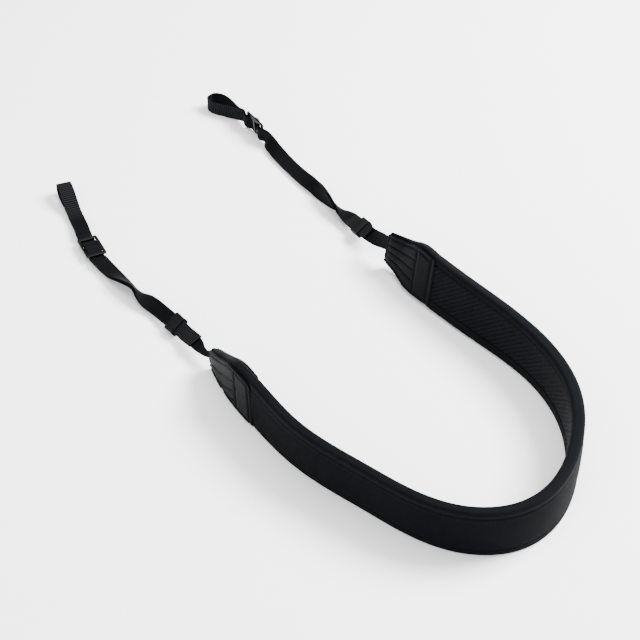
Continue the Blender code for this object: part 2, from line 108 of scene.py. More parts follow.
print("lights", [row[0] for row in LIGHTS])

# %% [markdown]
# ## The routes
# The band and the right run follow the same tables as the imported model: a row a section, with how
# far the band bends, leans and drops there, and for the webbing a row for each bend or twist. The
# left run does too, except next to its tab. The photo shows the strip narrowing to a thin neck
# there, so its first four rows are the scene's own, and it enters the tab flat and gathered, which
# is a guess. Values between the rows are joined by curves. A route answers one question: at this
# distance, where is the middle, and how are the faces turned?

# %% The tables, in millimetres and degrees
MM = 0.001
SHIFT = np.array([19.85, -30.25, 0.0])     # from the tables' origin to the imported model's

BAND_COLUMNS = ("distance", "bend", "lean", "height", "lift")
BAND_ROWS = (
    (0.0, 4.2, 2.3, 16.6, -9.5),
    (20.0, 3.4, -1.5, 27.7, -5.6),
    (40.0, 1.7, -0.9, 37.3, -0.4),
    (63.5, 0.4, -0.6, 38.5, 0.0),
    (118.0, 3.5, 3.1, 39.0, 0.0),
    (172.5, -0.9, 4.0, 39.0, 0.0),
    (228.5, 6.85, 2.8, 39.0, 0.0),
    (278.5, 11.9, 0.0, 39.0, 0.0),
    (339.0, 4.0, 0.0, 39.0, 0.0),
    (394.5, 4.7, 2.7, 39.0, 0.0),
    (450.5, 4.3, 5.3, 39.0, 0.0),
    (505.0, -0.4, 13.1, 39.0, 0.0),
    (559.5, -1.4, 18.8, 38.5, 0.0),
    (579.0, -2.0, 20.0, 38.9, 0.0),
    (595.5, -3.3, 20.0, 30.3, -1.3),
    (611.0, -4.9, 8.5, 26.0, -1.4),
)
BAND_START = (-73.5, -51.3)
BAND_HEADING = -71.8
BAND_LENGTH = 611.0
BAND_HEIGHT = 39.0
FLAT_FOOT = 1.6
LEFT_RIM = 64.9
RIGHT_RIM = 556.0
PAD_THICK = 7.4
TAB_THICK_ROWS = ((0.0, 3.2), (0.35, 5.2), (0.7, 6.2), (1.0, 5.8))
UPPER_INSET_ROWS = ((0.0, 1.0), (0.62, 2.7), (1.0, 2.7))
LOWER_INSET = 1.0

WEB_WIDTH = 11.6
WEB_THICK = 1.2
LAYER_OFFSET = 0.9
WEB_IN_TAB = 11.5
WAVE_HEIGHT = 2.4
WAVE_REACH = 10.8
HOLD_EASE = 3.0
WEB_COLUMNS = ("x", "y", "z", "roll", "hold")
LEFT_WEB_ROWS = (
    (-76.6, -49.7, 9.8, -4.0, 0.0),
    (-80.2, -46.8, 9.3, -8.0, 0.0),
    (-84.0, -42.4, 9.2, -14.0, 0.0),
    (-87.8, -36.0, 9.4, -22.0, 0.0),
    (-95.9, -24.2, 7.6, -32.0, 0.0),
    (-104.0, -12.9, 6.9, -33.0, 5.0),
    (-112.5, -1.7, 6.0, -33.0, 0.0),
    (-120.2, 8.1, 5.1, -26.0, 0.0),
    (-127.8, 16.4, 4.9, 0.0, 0.0),
    (-136.0, 25.9, 6.1, 53.0, 0.0),
    (-144.7, 35.8, 5.7, 40.0, 0.0),
    (-154.0, 47.5, 3.6, 14.0, 0.0),
    (-162.4, 58.7, 3.2, 0.0, 0.0),
    (-175.2, 80.5, 4.4, 0.0, 13.0),
    (-187.0, 108.8, 2.6, 0.0, 0.0),
    (-193.7, 125.4, 2.9, 0.0, 0.0),
    (-200.0, 141.5, 5.9, 0.0, 0.0),
    (-206.2, 157.7, 6.4, 0.0, 0.0),
)
RIGHT_WEB_ROWS = (
    (41.8, 79.3, 15.2, 130.0, 0.0),
    (37.6, 87.6, 12.6, 148.0, 0.0),
    (32.1, 98.9, 9.6, 151.0, 5.0),
    (25.8, 110.6, 7.2, 158.0, 0.0),
    (20.4, 120.0, 6.0, 190.0, 0.0),
    (13.4, 129.2, 6.3, 233.0, 0.0),
    (7.9, 137.6, 6.2, 262.0, 0.0),
    (2.0, 147.0, 6.2, 285.0, 0.0),
    (-6.0, 161.0, 5.0, 325.0, 0.0),
    (-14.2, 174.5, 3.4, 346.0, 0.0),
    (-23.8, 190.0, 2.7, 353.0, 0.0),
    (-32.7, 204.4, 3.5, 344.0, 0.0),
    (-41.4, 219.0, 5.9, 308.0, 0.0),
    (-54.6, 241.5, 8.6, 264.0, 13.0),
    (-70.0, 262.0, 7.6, 268.0, 0.0),
    (-81.5, 273.6, 6.3, 270.0, 0.0),
    (-94.5, 284.5, 6.0, 270.0, 0.0),
)
RUN_COLUMNS = ("tail_end", "tail_side", "mouth_rise", "loop_length", "loop_half_width")
LEFT_RUN = (20.5, 1.0, 1.2, 31.0, 5.6)
RIGHT_RUN = (28.0, -1.0, 1.9, 36.0, 7.4)
LOOP_ROWS = (
    (1.0, 0.0), (0.83, 0.22), (0.63, 0.55), (0.42, 0.88),
    (0.22, 1.0), (0.08, 0.76), (0.01, 0.42), (0.0, 0.31),
)
print("band sections", len(BAND_ROWS), "webbing rows", len(LEFT_WEB_ROWS) + len(RIGHT_WEB_ROWS))

# %% Curves through table rows


def smooth(at, knots, values):
    """Values between knots on a curve with no corners."""
    knots = np.asarray(knots, float)
    values = np.asarray(values, float)
    slopes = np.gradient(values, knots)
    at = np.clip(np.asarray(at, float), knots[0], knots[-1])
    i = np.clip(np.searchsorted(knots, at, side="right") - 1, 0, len(knots) - 2)
    span = knots[i + 1] - knots[i]
    t = (at - knots[i]) / span
    return (
        (1 + 2 * t) * (1 - t) ** 2 * values[i]
        + t * (1 - t) ** 2 * span * slopes[i]
        + t * t * (3 - 2 * t) * values[i + 1]
        + t * t * (t - 1) * span * slopes[i + 1]
    )


def unit(v):
    return v / np.linalg.norm(v, axis=-1, keepdims=True)


def running_total(steps):
    return np.concatenate([[0.0], np.cumsum(steps)])


def running_length(line):
    """How far along a line of points each of them is."""
    return running_total(np.linalg.norm(np.diff(line, axis=0), axis=1))


# %% The band's route
band_fine = np.linspace(0.0, BAND_LENGTH, 2461)
band_table = dict(zip(BAND_COLUMNS, np.array(BAND_ROWS).T))


def band_value(name, at):
    """Bends change evenly between the rows, and the other columns on a curve."""
    if name == "bend":
        return np.interp(at, band_table["distance"], band_table[name])
    return smooth(at, band_table["distance"], band_table[name])


fine_step = band_fine[1] - band_fine[0]
fine_bend = band_value("bend", band_fine) / 10.0
fine_turn = running_total((fine_bend[1:] + fine_bend[:-1]) / 2 * fine_step)
fine_heading = np.radians(BAND_HEADING + fine_turn)
half_heading = (fine_heading[1:] + fine_heading[:-1]) / 2
fine_x = BAND_START[0] + running_total(np.cos(half_heading) * fine_step)
fine_y = BAND_START[1] + running_total(np.sin(half_heading) * fine_step)


def band_frame(at):
    """Middle points, outward directions and upward directions at distances along the band."""
    at = np.asarray(at, float)
    heading = np.interp(at, band_fine, fine_heading)
    lean = np.radians(band_value("lean", at))[:, None]
    level = np.zeros_like(heading)
    out = np.stack([np.sin(heading), -np.cos(heading), level], axis=1)
    z = np.array([0.0, 0.0, 1.0])
    up = np.cos(lean) * z + np.sin(lean) * out
    side = np.cos(lean) * out - np.sin(lean) * z
    foot_x, foot_y = (np.interp(at, band_fine, fine) for fine in (fine_x, fine_y))
    foot = np.stack([foot_x, foot_y, level], axis=1)
    rise = BAND_HEIGHT / 2 * np.cos(lean) + FLAT_FOOT * abs(np.sin(lean))
    rise = rise + band_value("lift", at)[:, None]
    return foot + rise * z + BAND_HEIGHT / 2 * np.sin(lean) * out, side, up


def tab_share(at):
    """Share of the way from a tab's narrow end to the neoprene."""
    left = at / LEFT_RIM
    right = (BAND_LENGTH - at) / (BAND_LENGTH - RIGHT_RIM)
    return np.clip(np.where(at < BAND_LENGTH / 2, left, right), 0.0, 1.0)


def tab_thickness(at):
    shares, values = zip(*TAB_THICK_ROWS)
    return smooth(tab_share(at), shares, values)


print("band runs to", (band_frame([BAND_LENGTH])[0][0] + SHIFT).round(1), "mm")

# %% The webbing's route


class Run:
    """The middle line of one doubled run, from inside its tab to the closed end of its loop."""

    def __init__(self, rows, inside, mouth, first_roll, facts):
        self.facts = dict(zip(RUN_COLUMNS, facts))
        points = [inside, inside * 0.2 + mouth * 0.8, mouth]
        rolls = [first_roll] * 3
        held = []
        for i, row in enumerate(rows):
            here = np.array(row[:3])
            hold = row[WEB_COLUMNS.index("hold")]
            steps, along = (0.0,), np.zeros(3)
            if hold:
                steps = (-hold - HOLD_EASE, -hold, 0.0, hold, hold + HOLD_EASE)
                along = unit(np.array(rows[i + 1][:3]) - np.array(rows[i - 1][:3]))
                held.append(len(points) + 2)
            points += [here + along * step for step in steps]
            rolls += [row[WEB_COLUMNS.index("roll")]] * len(steps)
        points = np.array(points)
        lengths = running_length(points)
        self.knots = lengths - lengths[2]        # the third point is the tab's mouth
        self.points = points
        self.rolls = np.array(rolls)
        self.keeper, self.slider = (self.knots[i] for i in held)
        self.start, self.nose = self.knots[0], self.knots[-1]

    def middle(self, at):
        return np.stack([smooth(at, self.knots, self.points[:, i]) for i in range(3)], axis=-1)

    def frame(self, at):
        """Point, run direction, width direction and face direction."""
        at = np.asarray(at, float)
        ahead = self.middle(np.minimum(at + 0.5, self.nose))
        behind = self.middle(np.maximum(at - 0.5, self.start))
        along = unit(ahead - behind)
        flat = unit(np.cross([0.0, 0.0, 1.0], along))
        rise = np.cross(along, flat)
        roll = np.radians(smooth(at, self.knots, self.rolls))[..., None]
        wide = np.cos(roll) * flat + np.sin(roll) * rise
        return self.middle(at), along, wide, np.cross(along, wide)

    def wave(self, at):
        """How far the layers lift to pass over the slider's middle bar and under its ends."""
        off = abs(at - self.slider)
        over = np.cos(np.pi * off / WAVE_REACH)
        ease = -0.5 * (1 + np.cos(np.pi * (off - WAVE_REACH) / (WAVE_REACH * 0.75)))
        lift = np.where(off > WAVE_REACH * 1.75, 0.0, np.where(off > WAVE_REACH, ease, over))
        return WAVE_HEIGHT * lift * self.facts["tail_side"]


runs = {}
for end, rows, facts in (("left", LEFT_WEB_ROWS, LEFT_RUN), ("right", RIGHT_WEB_ROWS, RIGHT_RUN)):
    ends = np.array([WEB_IN_TAB, 0.0] if end == "left" else [BAND_LENGTH - WEB_IN_TAB, BAND_LENGTH])
    middle, _, up = band_frame(ends)
    rise = dict(zip(RUN_COLUMNS, facts))["mouth_rise"]
    lean = band_value("lean", ends[1])
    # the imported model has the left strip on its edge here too; the scene has it flat and gathered
    roll = 0.0 if end == "left" else 90.0 + lean
    inside, mouth = middle + up * rise
    runs[end] = Run(rows, inside, mouth, roll, facts)
    print(end, "run", round(runs[end].nose, 1), "mm from the tab to the loop's closed end")

# %% [markdown]
# ## The bench
# A long piece with a constant section is quickest made as one short slice that the Array modifier
# repeats. These few helpers do what a hand does at the bench: put a block down, select what passes
# a test, repeat a slice, and bend the finished piece along its route. The bending moves each point
# from its place on the bench (along, across, up) to the same place on the route. Blender's Curve
# modifier does that too, but it can't narrow the band in the tabs, so the tables do it here. The
# bench place is kept as a UV map first, in centimetres, so that weave and grain follow the piece.

# %% Bench tools


def hold_only(piece):
    bpy.ops.object.select_all(action="DESELECT")
    bpy.context.view_layer.objects.active = piece
    piece.select_set(True)


def block(name, size, at):
    """A block of that size whose middle is at that place on the bench."""
    bpy.ops.object.select_all(action="DESELECT")
    bpy.ops.mesh.primitive_cube_add(size=1.0, location=at, scale=size)
    bpy.ops.object.transform_apply(location=True, rotation=True, scale=True)
    piece = bpy.context.object
    piece.name = name
    piece.data.name = name
    return piece


def grid(name, cells, size, at, turn):
    """A standing sheet of cells, of that width and height; turn, 1 or -1, is the way it faces."""
    bpy.ops.object.select_all(action="DESELECT")
    bpy.ops.mesh.primitive_grid_add(
        x_subdivisions=cells[0], y_subdivisions=cells[1], size=1.0, location=at,
        rotation=(turn * math.pi / 2, 0.0, 0.0),
    )
    piece = bpy.context.object
    piece.name = piece.data.name = name
    piece.scale = (*size, 1.0)
    bpy.ops.object.transform_apply(location=True, rotation=True, scale=True)
    return piece


def edit_all(piece):
    """Opens edit mode with everything selected."""
    hold_only(piece)
    bpy.ops.object.mode_set(mode="EDIT")
    bpy.ops.mesh.select_all(action="SELECT")


def pick(piece, kind, test):
    """Selects in edit mode the faces, edges or points whose middle passes the test."""
    hold_only(piece)
    bpy.ops.object.mode_set(mode="EDIT")
    bpy.ops.mesh.select_mode(type=kind)
    bpy.ops.mesh.select_all(action="DESELECT")
    bpy.ops.object.mode_set(mode="OBJECT")
    mesh = piece.data
    if kind == "FACE":
        for face in mesh.polygons:
            face.select = bool(test(face.center))
    elif kind == "EDGE":
        for edge in mesh.edges:
            a, b = (mesh.vertices[i].co for i in edge.vertices)
            edge.select = bool(test((a + b) / 2, b - a))
    else:
        for point in mesh.vertices:
            point.select = bool(test(point.co))
    bpy.ops.object.mode_set(mode="EDIT")


def done():
    bpy.ops.object.mode_set(mode="OBJECT")


def open_ends(piece, half):
    """Takes away the two end faces of a slice, so that its copies join up."""
    pick(piece, "FACE", lambda c: abs(abs(c.x) - half) < 0.001)
    bpy.ops.mesh.delete(type="FACE")
    done()


def cut(piece, at, normal):
    """Cuts new edges through the whole piece along a plane."""
    edit_all(piece)
    bpy.ops.mesh.bisect(plane_co=at, plane_no=normal)
    done()


def push(piece, test, by):
    """Moves the points that pass the test."""
    pick(piece, "VERT", test)
    bpy.ops.transform.translate(value=by)
    done()


def round_edges(piece, test, width, segments):
    """Rounds the edges that pass the test."""
    pick(piece, "EDGE", test)
    bpy.ops.mesh.bevel(offset=width, segments=segments)
    done()


def apply_modifier(piece, kind, **settings):
    """Adds a modifier with these settings and applies it."""
    hold_only(piece)
    modifier = piece.modifiers.new(kind.lower(), kind)
    for name, value in settings.items():
        setattr(modifier, name, value)
    bpy.ops.object.modifier_apply(modifier=modifier.name)


def soften(piece, width, segments, degrees):
    """Rounds every edge sharper than that."""
    apply_modifier(
        piece, "BEVEL", width=width, segments=segments, limit_method="ANGLE",
        angle_limit=math.radians(degrees),
    )


def repeat(piece, pitch, count):
    apply_modifier(
        piece, "ARRAY", count=count, use_relative_offset=False, use_constant_offset=True,
        constant_offset_displace=(pitch, 0.0, 0.0), use_merge_vertices=True, merge_threshold=0.002,
    )


def close_holes(piece):
    pick(piece, "EDGE", lambda c, d: False)
    bpy.ops.mesh.select_non_manifold()
    bpy.ops.mesh.edge_face_add()
    bpy.ops.mesh.select_all(action="SELECT")
    bpy.ops.mesh.normals_make_consistent(inside=False)
    done()


def points_of(mesh):
    points = np.empty(len(mesh.vertices) * 3)
    mesh.vertices.foreach_get("co", points)
    return points.reshape(-1, 3)


def lay_uv(piece, across):
    """Keeps the bench place as a UV map in centimetres; across turns points into widths."""
    mesh = piece.data
    layer = mesh.uv_layers.new(name="bench")
    points = points_of(mesh)
    corners = np.empty(len(mesh.loops), dtype=np.int64)
    mesh.loops.foreach_get("vertex_index", corners)
    uv = np.stack([points[:, 0], across(points)], axis=1)[corners] / 10.0
    layer.data.foreach_set("uv", uv.ravel())


FLOOR_EASE = 0.5                    # heights under this are pressed up, out of the floor


def bend(piece, place, across=lambda p: p[:, 2] + p[:, 1]):
    """Moves the finished piece from the bench to its route, and from millimetres to metres."""
    lay_uv(piece, across)
    mesh = piece.data
    placed = place(points_of(mesh)) + SHIFT
    low = placed[:, 2] < FLOOR_EASE
    placed[low, 2] = FLOOR_EASE * np.exp(placed[low, 2] / FLOOR_EASE - 1.0)
    mesh.vertices.foreach_set("co", (placed * MM).ravel())
    mesh.update()
    hold_only(piece)
    bpy.ops.object.shade_smooth_by_angle(angle=math.radians(40.0))
    print(piece.name, len(mesh.polygons), "faces")


# %% [markdown]
# ## The padded band
# The real band is a foam core in black neoprene. A strip of smooth cloth is folded round each long
# edge and sewn down, and the lower one's lip is wide on the inner face. A panel of mesh cloth
# fills the inner face between the lips. Each is one slice of the section, repeated. The core is
# wider at mid height than at the seams, because the stitching pulls the foam in.

# %% Band sizes
SLICES = 204
STRIP = BAND_LENGTH / SLICES        # length of one slice
LIP_PROUD = 0.25                    # the folded strips stand this far over the core's own face
TUCK = 1.6                          # under the leather the band is this much thinner
# width of the folded strip's lip on the outer and inner face
LIPS = {"upper": (4.8, 4.9), "lower": (4.6, 7.2)}
# height from the middle, how far the outer face stands out there
CROWN_ROWS = (
    (15.4, -0.6), (14.75, -0.35), (14.4, -0.02), (13.6, 0.06), (11.8, 0.13), (9.5, 0.28),
    (6.0, 0.44), (2.0, 0.5), (-3.0, 0.5), (-8.0, 0.38), (-12.0, 0.14), (-13.9, 0.06),
    (-14.6, -0.02), (-14.95, -0.35), (-15.5, -0.6),
)
# The leather's end rims, as distance at mid height and how much further for each mm of height
RIMS = {"left": (LEFT_RIM, -0.083), "right": (RIGHT_RIM - 1.2, 0.178)}
RIM_EASE = 5.0                      # the band thins over this length under the leather
RIM_AHEAD = 0.6                     # and it starts this far before the leather
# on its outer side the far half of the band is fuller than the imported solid
FULLER_ROWS = ((0.0, 0.0), (300.0, 0.0), (390.0, 1.0), (470.0, 1.4), (575.0, 1.4), (611.0, 0.0))


def rim_at(end, height):
    return RIMS[end][0] + RIMS[end][1] * height


def under_leather(at, height):
    """0 on the open band, 1 where the leather squeezes it."""
    left = (rim_at("left", height) + RIM_AHEAD - at) / RIM_EASE
    right = (at - rim_at("right", height) + RIM_AHEAD) / RIM_EASE
    share = np.clip(np.maximum(left, right), 0.0, 1.0)
    return share * share * (3 - 2 * share)


def band_half(at, height, tuck=0.0):
    """Half the band's thickness there."""
    squeezed = under_leather(at, height)
    return (PAD_THICK * (1 - squeezed) + (tab_thickness(at) - tuck) * squeezed) / 2


def fuller(at):
    return smooth(at, *zip(*FULLER_ROWS))


def place_band(points, tuck=0.0):
    """Bench to route: x along the band, y towards the wearer, z up."""
    at = np.clip(points[:, 0], 0.0, BAND_LENGTH)
    middle, side, up = band_frame(at)
    half = band_half(at, points[:, 2], tuck) + np.where(points[:, 1] < 0.0, fuller(at), 0.0)
    thick = half / (PAD_THICK / 2)
    tall = band_value("height", at) / BAND_HEIGHT
    return middle - (points[:, 1] * thick)[:, None] * side + (points[:, 2] * tall)[:, None] * up


# %% The padded core
CORE_SIZE = (STRIP, 5.4, 36.4)
CORE_BACK = 0.3                     # its middle lies this far towards the wearer
CORE_SETBACK = 14.5                 # it stops this far inside each narrow end
core = block("padded_core", CORE_SIZE, (0.0, CORE_BACK, 0.0))
open_ends(core, STRIP / 2)
round_edges(core, lambda c, d: abs(d.x) > 1.0, 1.6, 3)
OUTER_FACE = -PAD_THICK / 2 - LIP_PROUD
for level, _ in CROWN_ROWS:
    cut(core, (0.0, 0.0, level), (0.0, 0.0, 1.0))
for level, stand in CROWN_ROWS:
    push(
        core,
        lambda c: abs(c.z - level) < 0.01 and c.y < 0.0,
        (0.0, OUTER_FACE - stand + CORE_SIZE[1] / 2 - CORE_BACK, 0.0),
    )
repeat(core, STRIP, SLICES + 1)
push(core, lambda c: True, (1.0, 0.0, 0.0))
for end_at, normal in ((CORE_SETBACK, 1), (BAND_LENGTH - CORE_SETBACK, -1)):
    edit_all(core)
    bpy.ops.mesh.bisect(plane_co=(end_at, 0.0, 0.0), plane_no=(normal, 0, 0), clear_inner=True)
    done()
close_holes(core)
bend(core, lambda p: place_band(p, TUCK))

# %% [markdown]
# ## The folded edge strips
# A block with its ends and underside open is already an inverted channel. Rounding its two top
# edges gives the fold, and the last bit of each lip turns in where the seam pulls it down, so a
# dark line shows between the strip and the neoprene.

# %% The folded edge strips
STRIP_WALL = 0.9
LIP_TURN = ((0.5, 0.01), (0.2, 0.06), (0.0, 0.24))   # from the lip's edge, how far it turns in
FOLD_ROUND = {1: 2.4, -1: 1.3}      # the upper fold is rounder than the one that lies on the floor


def edge_strip(name, lips, sign):
    half = PAD_THICK / 2 + LIP_PROUD
    top = BAND_HEIGHT / 2
    deep = max(lips)
    piece = block(name, (STRIP, 2 * half, deep), (0.0, 0.0, top - deep / 2))
    open_ends(piece, STRIP / 2)
    pick(piece, "FACE", lambda c: c.z < top - deep + 0.01)
    bpy.ops.mesh.delete(type="ONLY_FACE")
    done()
    for lip, face in zip(lips, (-1, 1)):
        push(piece, lambda c: c.y * face > 0 and c.z < top - 1.0, (0.0, 0.0, deep - lip))
    round_edges(piece, lambda c, d: abs(d.x) > 1.0 and c.z > top - 0.01, FOLD_ROUND[sign], 6)
    for lip, face in zip(lips, (-1, 1)):
        for inward, turn in LIP_TURN:
            level = top - lip + inward
            if inward:
                cut(piece, (0.0, 0.0, level), (0.0, 0.0, 1.0))
            push(
                piece,
                lambda c: abs(c.z - level) < 0.01 and c.y * face > 1.0,
                (0.0, -face * turn, 0.0),
            )
    repeat(piece, STRIP, SLICES)
    push(piece, lambda c: True, (STRIP / 2, 0.0, 0.0))
    apply_modifier(piece, "SOLIDIFY", thickness=STRIP_WALL, offset=-1.0, use_even_offset=True)
    if sign < 0:
        edit_all(piece)
        bpy.ops.transform.mirror(constraint_axis=(False, False, True), center_override=(0, 0, 0))
        bpy.ops.mesh.normals_make_consistent(inside=False)
        done()
    return piece


upper_strip = edge_strip("upper_edge_strip", LIPS["upper"], 1)
bend(upper_strip, place_band)
lower_strip = edge_strip("lower_edge_strip", LIPS["lower"], -1)
bend(lower_strip, place_band)

# %% [markdown]
# ## The mesh panel
# The face that lies on the neck is a padded mesh cloth, so that it breathes and doesn't slip. Its
# pits lie in a diamond pattern, and from one side they line up into slanting rows. One repeat is a
# narrow grid with its pits pressed in; folding its edges back gives it a closed section, and it is
# then repeated more than a hundred times along the band.

# %% The mesh panel
PIT_STEP = 4.5                      # one repeat of the diamonds along the band
PIT_ROWS = 7                        # repeats between the two lips
PIT_DEPTH = 0.45
PIT_SLANT = 0.82                    # how much more the rows show that slant one way
PIT_FACES = (10, 9)                 # faces in one repeat, along and up
PANEL_TOP = BAND_HEIGHT / 2 - LIPS["upper"][1] + 0.1
PANEL_LOW = -BAND_HEIGHT / 2 + LIPS["lower"][1] - 0.1
PANEL_FACE = PAD_THICK / 2 - 0.35
PANEL_BACK = 0.9
PANEL_CROWN = 0.35
PANEL_START = LEFT_RIM - 1.5
panel = grid(
    "mesh_panel", (PIT_FACES[0], PIT_FACES[1] * PIT_ROWS), (PIT_STEP, PANEL_TOP - PANEL_LOW),
    (0.0, PANEL_FACE, (PANEL_TOP + PANEL_LOW) / 2), -1,
)
cloth_weights = panel.vertex_groups.new(name="cloth")
for v in panel.data.vertices:
    rows_up = (v.co.z - PANEL_LOW) / (PANEL_TOP - PANEL_LOW) * PIT_ROWS
    turns = v.co.x / PIT_STEP
    wave = PIT_SLANT * math.cos(2 * math.pi * (turns + rows_up))
    wave += (1 - PIT_SLANT) * math.cos(2 * math.pi * (turns - rows_up))
    from_lip = min(min(rows_up, PIT_ROWS - rows_up) / 0.4, 1.0)
    pit = ((1 + wave) / 2) ** 1.4
    weight = (PANEL_CROWN * from_lip + PIT_DEPTH * (1 - pit) * from_lip) / (PANEL_CROWN + PIT_DEPTH)
    cloth_weights.add([v.index], weight, "REPLACE")
apply_modifier(panel, "DISPLACE", direction="Y", strength=PANEL_CROWN + PIT_DEPTH, mid_level=0.0,
               vertex_group="cloth")
panel.vertex_groups.clear()
for level in (PANEL_TOP, PANEL_LOW):
    pick(panel, "EDGE", lambda c, d: abs(c.z - level) < 0.01 and c.y > PANEL_FACE - 0.5)
    bpy.ops.mesh.extrude_region_move(TRANSFORM_OT_translate={"value": (0.0, -PANEL_BACK, 0.0)})
    done()
pick(panel, "EDGE", lambda c, d: c.y < PANEL_FACE - PANEL_BACK + 0.01)
bpy.ops.mesh.bridge_edge_loops()
done()
PANEL_UNDER = 13.0                  # this much more than the space between the leather rims
panel_count = int((RIGHT_RIM - LEFT_RIM + PANEL_UNDER) / PIT_STEP)
repeat(panel, PIT_STEP, panel_count)
push(panel, lambda c: True, (PANEL_START + PIT_STEP / 2, 0.0, 0.0))
close_holes(panel)
bend(panel, lambda p: place_band(p, TUCK), across=lambda p: p[:, 2])

# %% [markdown]
# ## The leather tabs
# Each tab is a pair of leather faces sewn over the end of the band. A cross seam closes the
# padded end; from there stitched grooves run to the narrow end, so the leather swells between
# them in soft channels. The plate is a fine grid. A vertex group holds how far each point is from
# the nearest seam, as if painted by hand, and the Displace modifier lifts the leather by it.

# %% Leather sizes and seams
LEATHER_THICK = 1.1
LEATHER_SINK = 0.45                 # the stitching pulls the leather's seams this far in
CHANNEL_RISES = {"left": 1.6, "right": 0.9}
RIM_WIDTHS = {"left": 3.0, "right": 4.8}
RIM_RISE = 0.35                     # the rim strip swells only this share of a channel
SKIVE = (2.2, 0.25)                 # the leather thins over this length, to this share at its end
HEM = 2.4
PLATE_INSET = 1.4                   # a plate ends this far inside the band's edge, on average
CORNER = 3.4                        # radius of the round corner at the top of the rim
SWELL_REACH = 2.3                   # this far from a seam the leather is at its full height
GRID = 0.5
HALF_GRID = 15.0                     # half the bench height of a plate
# the cross seam: distance from the rim at mid height, and how much further for each mm of height
CROSS_SEAMS = {"left": (19.6, 0.03), "right": (20.2, 0.13)}
# ends of each groove: distance from the rim, height as a share of the half height
SLANT_GROOVES = ((19.6, 0.34, 57.0, -0.17), (19.6, -0.17, 53.0, -0.84), (19.6, -0.63, 42.0, -1.0))
FAN_GROOVES = ((20.2, 0.44, 52.0, 0.32), (20.2, 0.0, 52.0, -0.1), (20.2, -0.44, 50.0, -0.5))


def tab_length(end):
    return RIMS["left"][0] if end == "left" else BAND_LENGTH - RIMS["right"][0]


def distance_along(end, d, height):
    """Distance along the band of a point that is d from the tab's slanting rim."""
    share = 1 - d / tab_length(end)
    if end == "left":
        return np.clip(rim_at(end, height) * share, 0.0, BAND_LENGTH)
    return np.clip(BAND_LENGTH - (BAND_LENGTH - rim_at(end, height)) * share, 0.0, BAND_LENGTH)


def half_height(end, d):
    """Half the plate's real height."""
    return band_value("height", distance_along(end, d, 0.0)) / 2 - PLATE_INSET


def seam_distance(end, d, share, grooves):
    """Real distance from each point to the nearest seam of a tab."""
    length = tab_length(end)
    half = half_height(end, d)
    y = share * half
    cross_at = CROSS_SEAMS[end][0] + CROSS_SEAMS[end][1] * y
    rim = RIM_WIDTHS[end]
    near = np.where(d >= rim, np.minimum(abs(y - half + HEM), abs(y + half - HEM)), 99.0)
    near = np.minimum(near, abs(d - rim))
    inside_hem = abs(y) < half - HEM
    near = np.where(inside_hem, np.minimum(near, abs(d - cross_at) * 0.7), near)
    near = np.minimum(near, abs(length - HEM * 0.8 - d))
    for row in grooves:
        d0, s0, d1, s1 = row
        t = np.clip((d - d0) / (d1 - d0), 0.0, 1.0)
        off_y = y - (s0 + (s1 - s0) * t) * half
        off_d = np.maximum(np.maximum(cross_at - d, d - d1), 0.0)
        near = np.minimum(near, np.hypot(off_y, off_d))
    return near


def tab_place(points, end, face):
    """Bench to route for a plate: x from the rim, y up from the band's face, z up."""
    d = points[:, 0]
    share = points[:, 2] / HALF_GRID
    at = distance_along(end, d, share * half_height(end, d))
    middle, side, up = band_frame(at)
    half = band_value("height", at) / 2
    top = half - np.interp(tab_share(at), *zip(*UPPER_INSET_ROWS))
    low = LOWER_INSET - half
    level = (top + low) / 2 + share * (top - low) / 2
    squeezed = under_leather(at, level)
    base = band_half(at, level) + LIP_PROUD - LEATHER_SINK * squeezed
    if face > 0:
        base = base + fuller(at)
    skived = SKIVE[1] + (1 - SKIVE[1]) * np.sin(np.clip(d / SKIVE[0], 0.0, 1.0) * np.pi / 2)
    return middle + (face * (base + points[:, 1] * skived))[:, None] * side + level[:, None] * up


def leather_plate(end, face_name, face, grooves):
    length = tab_length(end)
    plate = grid(
        f"{face_name}_leather_{end}", (int(length / GRID), int(2 * HALF_GRID / GRID * 1.1)),
        (length, 2 * HALF_GRID), (length / 2, 0.0, 0.0), 1,
    )
    for v in plate.data.vertices:
        off_x, off_z = CORNER - v.co.x, v.co.z - HALF_GRID + CORNER
        if off_x > 0 and off_z > 0:
            reach = max(off_x, off_z) / math.hypot(off_x, off_z)
            v.co.x, v.co.z = CORNER - off_x * reach, HALF_GRID - CORNER + off_z * reach
    points = np.array([tuple(v.co) for v in plate.data.vertices])
    near = seam_distance(end, points[:, 0], points[:, 2] / HALF_GRID, grooves)
    swell = np.clip(near / SWELL_REACH, 0.0, 1.0)
    swell = np.sqrt(1 - (1 - swell) ** 2) * np.where(points[:, 0] < RIM_WIDTHS[end], RIM_RISE, 1.0)
    group = plate.vertex_groups.new(name="swell")
    for i, weight in enumerate(swell):
        group.add([i], float(weight), "REPLACE")
    apply_modifier(plate, "SOLIDIFY", thickness=LEATHER_THICK, offset=0.0)
    group = plate.vertex_groups["swell"]
    for v in plate.data.vertices:
        if v.co.y < 0:
            group.remove([v.index])
    apply_modifier(plate, "DISPLACE", direction="Y", strength=CHANNEL_RISES[end], mid_level=0.0,
                   vertex_group="swell")
    push(plate, lambda c: True, (0.0, LEATHER_THICK / 2, 0.0))
    plate.vertex_groups.clear()
    soften(plate, 0.3, 2, 60)
    bend(plate, lambda p: tab_place(p, end, face), across=lambda p: p[:, 2] + p[:, 1])
    edit_all(plate)
    bpy.ops.mesh.normals_make_consistent(inside=False)
    done()
    return plate


plates = {}
for end in ("left", "right"):
    for face_name, face in (("outer", 1.0), ("inner", -1.0)):
        grooves = SLANT_GROOVES if (end, face_name) == ("left", "outer") else FAN_GROOVES
        plates[face_name, end] = leather_plate(end, face_name, face, grooves)

